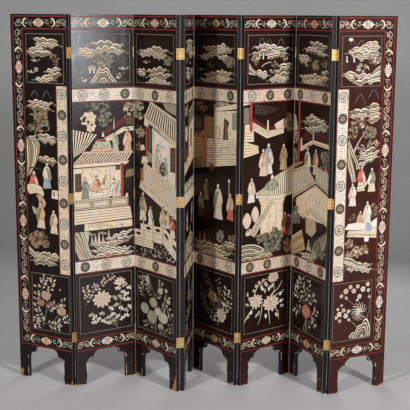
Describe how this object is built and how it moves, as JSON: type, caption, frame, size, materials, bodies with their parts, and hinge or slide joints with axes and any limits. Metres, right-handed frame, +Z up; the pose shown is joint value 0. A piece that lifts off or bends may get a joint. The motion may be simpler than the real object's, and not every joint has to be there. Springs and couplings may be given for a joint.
{
  "type": "lacquer folding screen",
  "caption": "Free-standing folding screen of tall lacquered leaves on arched feet, with inlaid landscape and border decoration, joined by brass butt hinges that fold shut or open flat.",
  "frame": {"origin": "centre of the bounding box at floor level, in the folded pose of the picture", "axes": "+X along the run of the screen, +Y to its back, so the decorated front faces -Y, +Z up"},
  "size_m": [2.1574, 0.4152, 2.13],
  "materials": {
    "lacquer": "aged glossy aubergine-black lacquer with a carved and coloured design",
    "edge_lacquer": "black lacquered softwood, worn to the wood at the toes",
    "bare_wood": "bare planed softwood",
    "brass": "aged brass with a dull satin patina"
  },
  "bodies": {
    "leaf_1": {"leaf_1_boards": "bare_wood", "leaf_1_stiles": "edge_lacquer", "leaf_1_rails": "bare_wood", "leaf_1_coats": "lacquer", "leaf_1_hinge_plates": "brass", "leaf_1_screws": "brass", "fold_1_pins": "brass"},
    "leaf_2": {"leaf_2_boards": "bare_wood", "leaf_2_stiles": "edge_lacquer", "leaf_2_rails": "bare_wood", "leaf_2_coats": "lacquer", "leaf_2_hinge_plates": "brass", "leaf_2_screws": "brass", "fold_2_pins": "brass"},
    "leaf_3": {"leaf_3_boards": "bare_wood", "leaf_3_stiles": "edge_lacquer", "leaf_3_rails": "bare_wood", "leaf_3_coats": "lacquer", "leaf_3_hinge_plates": "brass", "leaf_3_screws": "brass", "fold_3_pins": "brass"},
    "leaf_4": {"leaf_4_boards": "bare_wood", "leaf_4_stiles": "edge_lacquer", "leaf_4_rails": "bare_wood", "leaf_4_coats": "lacquer", "leaf_4_hinge_plates": "brass", "leaf_4_screws": "brass", "fold_4_pins": "brass"},
    "leaf_5": {"leaf_5_boards": "bare_wood", "leaf_5_stiles": "edge_lacquer", "leaf_5_rails": "bare_wood", "leaf_5_coats": "lacquer", "leaf_5_hinge_plates": "brass", "leaf_5_screws": "brass", "fold_5_pins": "brass"},
    "leaf_6": {"leaf_6_boards": "bare_wood", "leaf_6_stiles": "edge_lacquer", "leaf_6_rails": "bare_wood", "leaf_6_coats": "lacquer", "leaf_6_hinge_plates": "brass", "leaf_6_screws": "brass", "fold_6_pins": "brass"},
    "leaf_7": {"leaf_7_boards": "bare_wood", "leaf_7_stiles": "edge_lacquer", "leaf_7_rails": "bare_wood", "leaf_7_coats": "lacquer", "leaf_7_hinge_plates": "brass", "leaf_7_screws": "brass", "fold_7_pins": "brass"},
    "leaf_8": {"leaf_8_boards": "bare_wood", "leaf_8_stiles": "edge_lacquer", "leaf_8_rails": "bare_wood", "leaf_8_coats": "lacquer", "leaf_8_hinge_plates": "brass", "leaf_8_screws": "brass"}
  },
  "joints": [
    {"name": "fold_1", "type": "hinge", "parent": "leaf_1", "child": "leaf_2", "pos_m": [-0.72027, -0.13529, 0], "axis": [0, 0, 1], "range_deg": [-59, 121]},
    {"name": "fold_2", "type": "hinge", "parent": "leaf_2", "child": "leaf_3", "pos_m": [-0.39269, 0.06112, 0], "axis": [0, 0, -1], "range_deg": [-80, 100]},
    {"name": "fold_3", "type": "hinge", "parent": "leaf_3", "child": "leaf_4", "pos_m": [-0.10419, -0.18919, 0], "axis": [0, 0, 1], "range_deg": [-132, 48]},
    {"name": "fold_4", "type": "hinge", "parent": "leaf_4", "child": "leaf_5", "pos_m": [-0.05729, 0.18987, 0], "axis": [0, 0, -1], "range_deg": [-134, 46]},
    {"name": "fold_5", "type": "hinge", "parent": "leaf_5", "child": "leaf_6", "pos_m": [0.2223, -0.07036, 0], "axis": [0, 0, 1], "range_deg": [-88, 92]},
    {"name": "fold_6", "type": "hinge", "parent": "leaf_6", "child": "leaf_7", "pos_m": [0.52756, 0.15922, 0], "axis": [0, 0, -1], "range_deg": [-102, 78]},
    {"name": "fold_7", "type": "hinge", "parent": "leaf_7", "child": "leaf_8", "pos_m": [0.73588, -0.16092, 0], "axis": [0, 0, 1], "range_deg": [-91, 89]}
  ]
}
